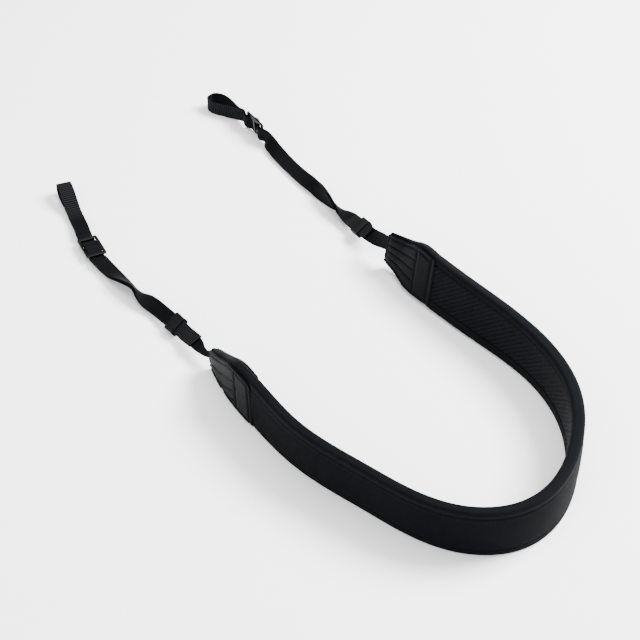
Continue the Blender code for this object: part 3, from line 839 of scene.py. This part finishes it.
# %% [markdown]
# ## The webbing
# Each run is one strip, doubled: it comes out of the tab, turns back at the loop, and its tail
# lies on itself as far as the keeper. The weave shows as fine cross ribs. One rib is modelled
# with its rounded edges and repeated along the whole length of the strip, which is then folded.

# %% The webbing
WEB_PITCH = 1.9
WEB_RISE = 0.34
RIB_CUTS = (-0.72, -0.4, 0.4, 0.72)     # a rib is cut across here to give it a crown
RIB_STEPS = ((0.85, 0.6), (0.55, 0.4))  # within this of its middle, up by this share of the rise
SELVAGE_CUTS = (-4.9, 4.9)
RIBBED_TIP = 30.0                   # the ribs stand out at the tail's end and in the loop
RIBBED_LOOP = 1.6                   # to each side of the closed end, as a share of the loop
LOOP_FADE = 14.0                    # over this length they sink again
FLAT_RELIEF = 0.22
# distance from the strip's end inside the tab, share of the full width; the left end is gathered
GATHER_ROWS = {
    "left": (
        (0.0, 0.22), (13.0, 0.22), (16.0, 0.27), (20.0, 0.37), (24.0, 0.49), (28.0, 0.64),
        (31.0, 0.76), (36.0, 0.86), (46.0, 0.94), (60.0, 1.0),
    ),
    "right": ((0.0, 0.9), (14.0, 1.0)),
}
FOLDED_THICKER = 1.7                # where the strip is gathered it is bunched, and so thicker


def folded_strip(run):
    """Lengths along the whole strip, and its middle points and width directions there."""
    tail = run.facts["tail_side"]
    shares = np.array(LOOP_ROWS)
    back = shares[:, 0] * run.facts["loop_length"]
    half = LAYER_OFFSET + shares[:, 1] * (run.facts["loop_half_width"] - LAYER_OFFSET)
    loop_start = run.nose - back[0]
    order = running_total(np.hypot(np.diff(back), np.diff(half)))
    fine = np.linspace(0.0, order[-1], 40)
    back, half = smooth(fine, order, back), smooth(fine, order, half)
    out_at = np.arange(run.start, loop_start, 1.0)
    share = np.clip((out_at - 2.0) / (run.facts["tail_end"] - 4.0), 0.0, 1.0)
    home_at = np.arange(run.facts["tail_end"], loop_start, 1.0)[::-1]
    at = np.concatenate([out_at, run.nose - back, run.nose - back[::-1], home_at])
    offset = np.concatenate([
        (run.wave(out_at) - tail * LAYER_OFFSET) * share,
        -tail * half,
        tail * half[::-1],
        run.wave(home_at) + tail * LAYER_OFFSET,
    ])
    here, _, wide, face = run.frame(at)
    middles = here + face * offset[:, None]
    steps = np.linalg.norm(np.diff(middles, axis=0), axis=1)
    keep = np.concatenate([[True], steps > 0.05])
    middles, wide = middles[keep], wide[keep]
    return running_length(middles), middles, wide


def web_place(points, strip):
    lengths, middles, wides = strip
    at = np.clip(points[:, 0], 0.0, lengths[-1])

    def between(values):
        return np.stack([np.interp(at, lengths, values[:, i]) for i in range(3)], axis=1)

    along = unit(np.gradient(middles, lengths, axis=0))
    here, wide, ahead = between(middles), unit(between(wides)), unit(between(along))
    face = unit(np.cross(ahead, wide))
    return here + points[:, 1:2] * wide + points[:, 2:3] * face


def web_strip(end):
    run = runs[end]
    strip = folded_strip(run)
    size = (WEB_PITCH, WEB_WIDTH, WEB_THICK - 2 * WEB_RISE)
    piece = block(f"woven_strip_{end}", size, (0.0, 0.0, 0.0))
    open_ends(piece, WEB_PITCH / 2)
    round_edges(piece, lambda c, d: abs(d.x) > 0.5, 0.25, 2)
    for at in RIB_CUTS:
        cut(piece, (at, 0.0, 0.0), (1.0, 0.0, 0.0))
    for side in SELVAGE_CUTS:
        cut(piece, (0.0, side, 0.0), (0.0, 1.0, 0.0))
    for up in (-1, 1):
        for reach, share in RIB_STEPS:
            crown = up * WEB_RISE * share
            push(piece, lambda c: abs(c.x) < reach and c.z * up > 0.2, (0.0, 0.0, crown))
    count = int(strip[0][-1] / WEB_PITCH)
    repeat(piece, WEB_PITCH, count)
    push(piece, lambda c: True, (WEB_PITCH / 2, 0.0, 0.0))
    close_holes(piece)
    total = strip[0][-1]
    tail = run.nose - run.facts["tail_end"] + (run.facts["loop_half_width"] - LAYER_OFFSET)
    ribbed[end] = total - RIBBED_TIP, total - tail, run.facts["loop_length"] * RIBBED_LOOP
    tip_from, loop_middle, loop_reach = ribbed[end]

    def on_route(points):
        at, wide, level = points.T
        in_tip = np.clip((at - tip_from) / 3.0, 0.0, 1.0)
        in_loop = np.clip((loop_reach - abs(at - loop_middle)) / LOOP_FADE, 0.0, 1.0)
        relief = FLAT_RELIEF + (1 - FLAT_RELIEF) * np.maximum(in_tip, in_loop)
        level = np.sign(level) * (WEB_THICK / 2 - (WEB_THICK / 2 - abs(level)) * relief)
        gather = np.interp(at, *zip(*GATHER_ROWS[end]))
        level = level * (1 + FOLDED_THICKER * (1 - gather))
        return web_place(np.stack([at, wide * gather, level], axis=1), strip)

    bend(piece, on_route, across=lambda p: p[:, 1] + p[:, 2])
    print(end, "strip length", round(strip[0][-1], 1), "mm")
    return piece


ribbed = {}                         # by end: where the tip starts, the loop's middle and reach
woven = {end: web_strip(end) for end in ("left", "right")}

# %% [markdown]
# ## Keepers and sliders
# A keeper is a short flat sleeve: a block with open ends, given a wall. A slider is a plate with
# two slots, cut out of a block; its ends are bowed to the tail's side of the strip and its middle
# bar away from it, so that the webbing runs almost straight through it. Both are stiff, so they
# are placed but not bent.

# %% Keepers
KEEPER_SIZE = (9.5, 14.6, 6.0)
KEEPER_WALL = 1.0
FLARE_FROM = 3.9                    # beyond this distance from its middle a keeper flares a little
KEEPER_FLARE = (1.0, 1.025, 1.07)


def place_stiff(points, run, at):
    here, along, wide, face = run.frame(at)
    return here + points @ np.stack([along, wide, face])


def keeper(end):
    piece = block(f"strap_keeper_{end}", KEEPER_SIZE, (0.0, 0.0, 0.0))
    open_ends(piece, KEEPER_SIZE[0] / 2)
    round_edges(piece, lambda c, d: abs(d.x) > 1.0, 1.3, 5)
    for at in (-FLARE_FROM, FLARE_FROM):
        cut(piece, (at, 0.0, 0.0), (1.0, 0.0, 0.0))
    pick(piece, "VERT", lambda c: abs(c.x) > FLARE_FROM + 0.1)
    bpy.ops.transform.resize(value=KEEPER_FLARE, center_override=(0.0, 0.0, 0.0))
    done()
    apply_modifier(piece, "SOLIDIFY", thickness=KEEPER_WALL, offset=-1.0, use_even_offset=True)
    soften(piece, 0.3, 3, 50)
    bend(piece, lambda p: place_stiff(p, runs[end], runs[end].keeper))
    return piece


keepers = {end: keeper(end) for end in ("left", "right")}

# %% Sliders
SLIDER_SIZE = (24.4, 16.2, 1.7)
SLOTS = (-5.35, 5.35)                            # middles of the two slots along the run
SLOT_LENGTH = 8.1
SLOT_WIDTH = 11.8
SLIDER_BOW = 0.6
BOW_REACH = 9.0                     # from the middle bar to where the bow has turned over


def slider(end):
    run = runs[end]
    piece = block(f"strap_slider_{end}", SLIDER_SIZE, (0.0, 0.0, 0.0))
    round_edges(piece, lambda c, d: abs(d.z) > 1.0, 1.4, 4)
    for at in SLOTS:
        cutter = block("slot", (SLOT_LENGTH, SLOT_WIDTH, 6.0), (at, 0.0, 0.0))
        apply_modifier(piece, "BOOLEAN", object=cutter, operation="DIFFERENCE", solver="EXACT")
        bpy.data.objects.remove(cutter)
    soften(piece, 0.5, 3, 50)
    for v in piece.data.vertices:
        ease = min(abs(v.co.x) / BOW_REACH, 1.0)
        v.co.z -= SLIDER_BOW * (1 - 2 * ease) * run.facts["tail_side"]
    bend(piece, lambda p: place_stiff(p, run, run.slider))
    return piece


sliders = {end: slider(end) for end in ("left", "right")}

# %% [markdown]
# ## Stitches
# One stitch is a short fat thread, pointed at both ends. It is modelled once, and copies of it
# are laid along every seam at the same pitch, each turned along its seam.

# %% One stitch, and a way to sew
STITCH_LENGTH = 2.1
STITCH_PITCH = 2.7
THREAD = 0.2
bpy.ops.object.select_all(action="DESELECT")
bpy.ops.mesh.primitive_uv_sphere_add(
    segments=6, ring_count=5, radius=1.0, rotation=(0, math.pi / 2, 0))
pattern = bpy.context.object
pattern.scale = (THREAD, THREAD, STITCH_LENGTH / 2)
bpy.ops.object.transform_apply(location=True, rotation=True, scale=True)
stitch_points = np.array([tuple(v.co) for v in pattern.data.vertices])
stitch_faces = [tuple(f.vertices) for f in pattern.data.polygons]
bpy.data.objects.remove(pattern)
print("one stitch has", len(stitch_faces), "faces")


def sew(name, seams):
    """Stitches along seams; a seam is a row of points and the surface's outward directions."""
    points, faces = [], []
    for line, outward in seams:
        length = running_length(line)
        count = max(int(length[-1] / STITCH_PITCH), 1)

        def between(values, at):
            return np.array([np.interp(at, length, values[:, i]) for i in range(3)])

        for at in (np.arange(count) + 0.5) * length[-1] / count:
            here, up = between(line, at), unit(between(outward, at))
            ahead, behind = between(line, at + 0.4), between(line, at - 0.4)
            x = unit(ahead - behind)
            y = unit(np.cross(up, x))
            basis = np.stack([x, y, np.cross(x, y)])
            faces += [tuple(i + len(points) * len(stitch_points) for i in f) for f in stitch_faces]
            points.append(stitch_points @ basis + here)
    mesh = bpy.data.meshes.new(name)
    mesh.from_pydata(((np.concatenate(points) + SHIFT) * MM).tolist(), [], faces)
    piece = bpy.data.objects.new(name, mesh)
    bpy.context.scene.collection.objects.link(piece)
    for f in mesh.polygons:
        f.use_smooth = True
    print(name, len(points), "stitches")
    return piece


# %% Seams of the band and of the leather
TOPSTITCH_DOWN = 2.9                # from the lip's edge to the stitches on the neoprene


def band_seam(y, z):
    """A seam along the neoprene at one place of the section, and its outward directions."""
    x = np.arange(LEFT_RIM + 3.5, RIGHT_RIM - 3.0, 2.0)
    row = np.stack([x, np.full(len(x), y), np.full(len(x), z)], axis=1)
    _, side, _ = band_frame(x)
    return place_band(row), side * (-1.0 if y > 0 else 1.0)


face_y = PAD_THICK / 2 + LIP_PROUD
upper_edge = BAND_HEIGHT / 2 - LIPS["upper"][0]
lower_edge = -BAND_HEIGHT / 2 + LIPS["lower"][0]
strip_stitches = sew("band_stitches", [
    band_seam(-face_y, upper_edge - TOPSTITCH_DOWN),
    band_seam(-face_y, lower_edge + TOPSTITCH_DOWN),
    band_seam(face_y, BAND_HEIGHT / 2 - LIPS["upper"][1] + 1.6),
    band_seam(face_y, -BAND_HEIGHT / 2 + LIPS["lower"][1] - 1.6),
])


def tab_seams(end, face, grooves):
    length = tab_length(end)
    cross, slant = CROSS_SEAMS[end]
    seams = []

    def add(d, share):
        height = share * half_height(end, d)
        row = np.stack([d, np.full(len(d), LEATHER_THICK + 0.05), share * HALF_GRID], axis=1)
        at = distance_along(end, d, height)
        seams.append((tab_place(row, end, face), band_frame(at)[1] * face))

    t = np.linspace(0.04, 1.0, 16)
    for d0, s0, d1, s1 in grooves:
        add(d0 + (d1 - d0) * t, s0 + (s1 - s0) * t)
    share = np.linspace(-0.86, 0.86, 16)
    add(np.full(16, RIM_WIDTHS[end]), share)
    half = half_height(end, np.full(16, cross))
    add(cross + slant * share * half, share)
    d = np.linspace(RIM_WIDTHS[end] + 1.0, length - HEM, 40)
    half = half_height(end, d)
    for sign in (1, -1):
        add(d, sign * (half - HEM) / half)
    return seams


leather_stitches = {}
for end in ("left", "right"):
    seams = tab_seams(end, 1.0, SLANT_GROOVES if end == "left" else FAN_GROOVES)
    seams += tab_seams(end, -1.0, FAN_GROOVES)
    leather_stitches[end] = sew(f"leather_stitches_{end}", seams)

# %% [markdown]
# ## Finishes
# Every finish is black, so what tells them apart is how they take light. Neoprene and webbing
# are dull, the edge cloth has a faint haze at grazing angles, leather has grain and a low shine,
# the keepers are satin plastic and the sliders are polished. The class below turns shader maths
# into ordinary expressions: each operator adds one Math node.

# %% Shader maths as expressions


class Wire:
    """A socket that can be used in an expression; make() adds any other node."""

    def __init__(self, tree, socket=None):
        self.tree = tree
        self.socket = socket

    def make(self, kind, inputs=(), out=0, stops=None, **settings):
        node = self.tree.nodes.new(kind)
        for name, value in settings.items():
            setattr(node, name, value)
        if stops:
            ramp = node.color_ramp
            while len(ramp.elements) < len(stops):
                ramp.elements.new(0.5)
            for element, (position, colour) in zip(ramp.elements, stops):
                element.position = position
                element.color = (*colour, 1.0)
        for name, value in dict(inputs).items():
            if isinstance(value, Wire):
                self.tree.links.new(value.socket, node.inputs[name])
            else:
                node.inputs[name].default_value = value
        return Wire(self.tree, node.outputs[out])

    def math(self, operation, first, second):
        return self.make("ShaderNodeMath", {0: first, 1: second}, operation=operation)

    def __add__(self, other):
        return self.math("ADD", self, other)

    def __radd__(self, other):
        return self.math("ADD", other, self)

    def __mul__(self, other):
        return self.math("MULTIPLY", self, other)

    def __sub__(self, other):
        return self.math("SUBTRACT", self, other)

    def __rsub__(self, other):
        return self.math("SUBTRACT", other, self)

    def sine(self):
        return self.math("SINE", self, 0.0)


def shader_of(material):
    return material.node_tree.nodes["Principled BSDF"]


def finish(name, **sockets):
    """A new material; the sockets named here are set on its shader. Returns it and a Wire."""
    material = bpy.data.materials.new(name)
    material.use_nodes = True
    for socket, value in sockets.items():
        shader_of(material).inputs[socket.replace("_", " ")].default_value = value
    return material, Wire(material.node_tree)


def connect(material, **links):
    for name, wire in links.items():
        socket = shader_of(material).inputs[name.replace("_", " ")]
        material.node_tree.links.new(wire.socket, socket)


def bench_uv(wire):
    """The bench place along and across, in centimetres."""
    uv = wire.make("ShaderNodeUVMap", uv_map="bench")
    split = wire.make("ShaderNodeSeparateXYZ", {0: uv})
    return uv, split, Wire(wire.tree, split.socket.node.outputs[1])


def noise(wire, vector, scale, detail=2.0, roughness=0.5):
    return wire.make(
        "ShaderNodeTexNoise",
        {"Vector": vector, "Scale": scale, "Detail": detail, "Roughness": roughness},
    )


def blend(wire, factor, dark, light):
    return wire.make(
        "ShaderNodeMix", {0: factor, 6: (*dark, 1.0), 7: (*light, 1.0)}, out=2, data_type="RGBA",
    )


def bump(wire, height, strength, distance):
    return wire.make(
        "ShaderNodeBump", {"Height": height, "Strength": strength, "Distance": distance},
    )


# %% Neoprene, edge strips and mesh panel
COOL = (0.80, 0.90, 1.0)            # the cloth's shine is a little blue


def cloth(name, dark, light, weave, shine, rough, strength, haze=0.0, pattern=None):
    """Dull black cloth; weave is threads a centimetre, pattern adds tone and height; the mesh's is
    painted shade.
    """
    material, wire = finish(
        name, Specular_IOR_Level=shine, Specular_Tint=(*COOL, 1.0), Sheen_Weight=haze,
        Sheen_Roughness=0.45, Sheen_Tint=(*COOL, 1.0),
    )
    uv, along, across = bench_uv(wire)
    fibre = noise(wire, uv, 38.0, 3.0, 0.6)
    cloud = noise(wire, uv, 0.9, 3.0, 0.55)
    warp = (along * (weave[0] * 2 * math.pi)).sine()
    weft = (across * (weave[1] * 2 * math.pi)).sine()
    height = fibre * 0.6 + warp * weft * 0.5
    tone = (cloud * 0.6 + fibre * 0.4 - 0.3) * 1.8
    if pattern:
        more_tone, more_height = pattern(along, across)
        tone, height = tone + more_tone, height + more_height
    connect(
        material, Base_Color=blend(wire, tone, dark, light), Roughness=rough + cloud * 0.14,
        Normal=bump(wire, height, strength, 0.00025),
    )
    return material


TAB_RIBS = 6.4                      # ribs a centimetre
TIP = 1.6                           # the darker last bit of each tab, in centimetres


def tab_ribs(along, across):
    """Plain along the neoprene, ribbed on top of the tabs and darker at their tips."""

    def outside(left, right):
        return along.math("LESS_THAN", along, left) + along.math("GREATER_THAN", along, right)

    ribs = (along * (TAB_RIBS * 2 * math.pi)).sine() * outside(LEFT_RIM / 10, RIGHT_RIM / 10)
    return ribs * 0.8 - outside(TIP, BAND_LENGTH / 10 - TIP) * 0.9, ribs * 0.8


def mesh_pits_and_painted_shade(along, across):
    """The wave of the panel's own shape, 1 in a pit: it lowers the pits and paints shade in them.
    """
    per_cm = 20 * math.pi
    quarter = math.pi / 2
    row_step = (PANEL_TOP - PANEL_LOW) / PIT_ROWS
    first_pit = PANEL_START + PIT_STEP / 2
    columns = along * (per_cm / PIT_STEP) - first_pit * per_cm / 10 / PIT_STEP
    rows = across * (per_cm / row_step) - PANEL_LOW * per_cm / 10 / row_step
    wave = (columns + rows + quarter).sine() * PIT_SLANT
    wave = wave + (columns - rows + quarter).sine() * (1 - PIT_SLANT)
    # the first is painted shade that darkens the pits, the second lowers them
    return wave * -0.4, wave * -0.2


neoprene = cloth(
    "neoprene", (0.0008, 0.0010, 0.0014), (0.0019, 0.0024, 0.0033),
    weave=(14.0, 14.0), shine=0.03, rough=0.68, strength=0.35,
)
# a little lighter than the neoprene: partly the cloth's own tone, partly painted light for the
# light its folded strips catch from above and off the floor
edge_cloth = cloth(
    "edge_cloth", (0.0012, 0.0014, 0.0018), (0.0030, 0.0034, 0.0042),
    weave=(11.0, 9.0), shine=0.03, rough=0.66, strength=0.4, haze=0.006, pattern=tab_ribs,
)
mesh_cloth = cloth(
    "mesh_cloth", (0.0003, 0.0004, 0.0006), (0.0032, 0.0038, 0.0049),
    weave=(24.0, 24.0), shine=0.035, rough=0.55, strength=0.3, pattern=mesh_pits_and_painted_shade,
)

# %% Leather


def leather_finish():
    material, wire = finish("grained_leather", Specular_IOR_Level=0.048, Specular_Tint=(*COOL, 1.0))
    uv, along, across = bench_uv(wire)
    wrinkle = wire.make(
        "ShaderNodeTexVoronoi", {"Vector": uv, "Scale": 9.0, "Randomness": 1.0},
        feature="DISTANCE_TO_EDGE",
    )
    crease = wire.make(
        "ShaderNodeMapRange",
        {0: wrinkle, "From Min": 0.0, "From Max": 0.18, "To Min": 0.0, "To Max": 1.0}, clamp=True,
    )
    pore = noise(wire, uv, 30.0, 3.0, 0.6)
    cloud = noise(wire, uv, 1.3, 4.0, 0.6)
    tone = blend(
        wire, (cloud * 0.9 + pore * 0.3 - 0.3) * 1.3,
        (0.0003, 0.0004, 0.0005), (0.0013, 0.0015, 0.0018),
    )
    connect(
        material, Base_Color=tone, Roughness=0.45 + cloud * 0.14 + pore * 0.06,
        Normal=bump(wire, crease * 0.7 + pore * 0.3, 0.35, 0.00018),
    )
    return material


leather = leather_finish()

# %% Webbing and thread


def webbing_finish(end):
    """Woven cloth; at the tail's tip and in the loop its ribs get a painted highlight and shade."""
    material, wire = finish(
        f"black_webbing_{end}", Specular_IOR_Level=0.03, Specular_Tint=(*COOL, 1.0),
    )
    uv, along, across = bench_uv(wire)
    tip_from, loop_middle, loop_reach = ribbed[end]
    off_loop = along - loop_middle / 10
    from_loop = off_loop.math("ABSOLUTE", off_loop, 0.0)
    # tip marks where the ribs get painted highlights: past the tip's start, and fading in the loop
    tip = along.math("GREATER_THAN", along, tip_from / 10)
    in_loop = (loop_reach / 10 - from_loop) * (8 / LOOP_FADE)
    in_loop = in_loop.math("MINIMUM", in_loop, 0.8)
    tip = tip + in_loop.math("MAXIMUM", in_loop, 0.0)
    # the ribs' crests are painted lighter and their hollows darker: painted highlight and painted
    # shade
    painted_rib_light_and_shade = (along * (20 * math.pi / WEB_PITCH) - math.pi / 2).sine()
    warp = (across * (10.5 * 2 * math.pi)).sine()
    fibre = noise(wire, uv, 30.0, 3.0, 0.65)
    cloud = noise(wire, uv, 1.6, 2.0, 0.5)
    # the tip and the loop are also a little lighter overall
    tone = blend(
        wire, painted_rib_light_and_shade * (tip * 0.65 + 0.03) + warp * 0.03 + fibre * 0.12 + cloud * 0.05 + tip * 0.06,
        (0.0003, 0.0003, 0.0004), (0.0175, 0.0184, 0.0210),
    )
    connect(
        material, Base_Color=tone, Roughness=0.55 + fibre * 0.2,
        Normal=bump(wire, warp * 0.35 + fibre * 0.4, 0.5, 0.0002),
    )
    return material


def thread_finish():
    material, wire = finish("black_thread", Specular_IOR_Level=0.08)
    place = wire.make("ShaderNodeTexCoord", out=3)
    ply = noise(wire, place, 2600.0, 2.0, 0.5)
    tone = blend(wire, ply, (0.0006, 0.0006, 0.0008), (0.0022, 0.0024, 0.0028))
    connect(
        material, Base_Color=tone, Roughness=0.42 + ply * 0.2, Normal=bump(wire, ply, 0.3, 0.0001),
    )
    return material


webbing = {end: webbing_finish(end) for end in woven}
thread = thread_finish()

# %% Plastic


def plastic_finish(name, dark, light, rough, spread, strength, coat):
    material, wire = finish(
        name, Specular_IOR_Level=0.1, Coat_Roughness=0.12, Coat_Weight=coat,
    )
    place = wire.make("ShaderNodeTexCoord", out=3)
    speck = noise(wire, place, 1900.0, 2.0, 0.55)
    handling = noise(wire, place, 120.0, 4.0, 0.6)
    tone = blend(wire, handling, dark, light)
    connect(
        material, Base_Color=tone, Roughness=rough + handling * spread + speck * 0.04,
        Normal=bump(wire, speck, strength, 0.00006),
    )
    return material


satin = plastic_finish(
    "satin_plastic", (0.0007, 0.0009, 0.0012), (0.0019, 0.0023, 0.0029),
    rough=0.46, spread=0.14, strength=0.35, coat=0.0,
)
polished = plastic_finish(
    "polished_plastic", (0.0010, 0.0010, 0.0011), (0.0020, 0.0020, 0.0022),
    rough=0.12, spread=0.10, strength=0.08, coat=0.3,
)

# %% The floor's finish
paper, wire = finish("pale_floor", Roughness=0.9, Specular_IOR_Level=0.1)
place = wire.make("ShaderNodeTexCoord", out=3)
mottle = noise(wire, place, 3.0, 2.0, 0.5)
connect(paper, Base_Color=blend(wire, mottle, (0.93, 0.93, 0.935), (0.95, 0.95, 0.95)))
floor.data.materials.append(paper)

# %% [markdown]
# ## Dressing the pieces
# Each piece gets its finish and rides on the part's one body, and all but the stitches hide
# the solid of the imported model that they stand for.

# %% Dress the pieces


def dress(piece, material, slot, *replaced):
    piece.data.materials.clear()
    piece.data.materials.append(material)
    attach(piece, "root")
    if replaced:
        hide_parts(*replaced)


dress(core, neoprene, "neoprene", "neck_pad")
dress(upper_strip, edge_cloth, "binding", "upper_binding")
dress(lower_strip, edge_cloth, "binding", "lower_binding")
dress(panel, mesh_cloth, "grip", "grip_panel")
for (face_name, end), plate in plates.items():
    dress(plate, leather, "leather", f"{face_name}_tab_{end}")
for end, strip in woven.items():
    dress(strip, webbing[end], "webbing", f"webbing_{end}")
dress(strip_stitches, thread, "binding")
for stitches in leather_stitches.values():
    dress(stitches, thread, "leather")
for end in ("left", "right"):
    dress(keepers[end], satin, "keeper_plastic", f"keeper_{end}")
    dress(sliders[end], polished, "slider_plastic", f"slider_{end}")

# %% Clear the selection


bpy.ops.object.select_all(action="DESELECT")
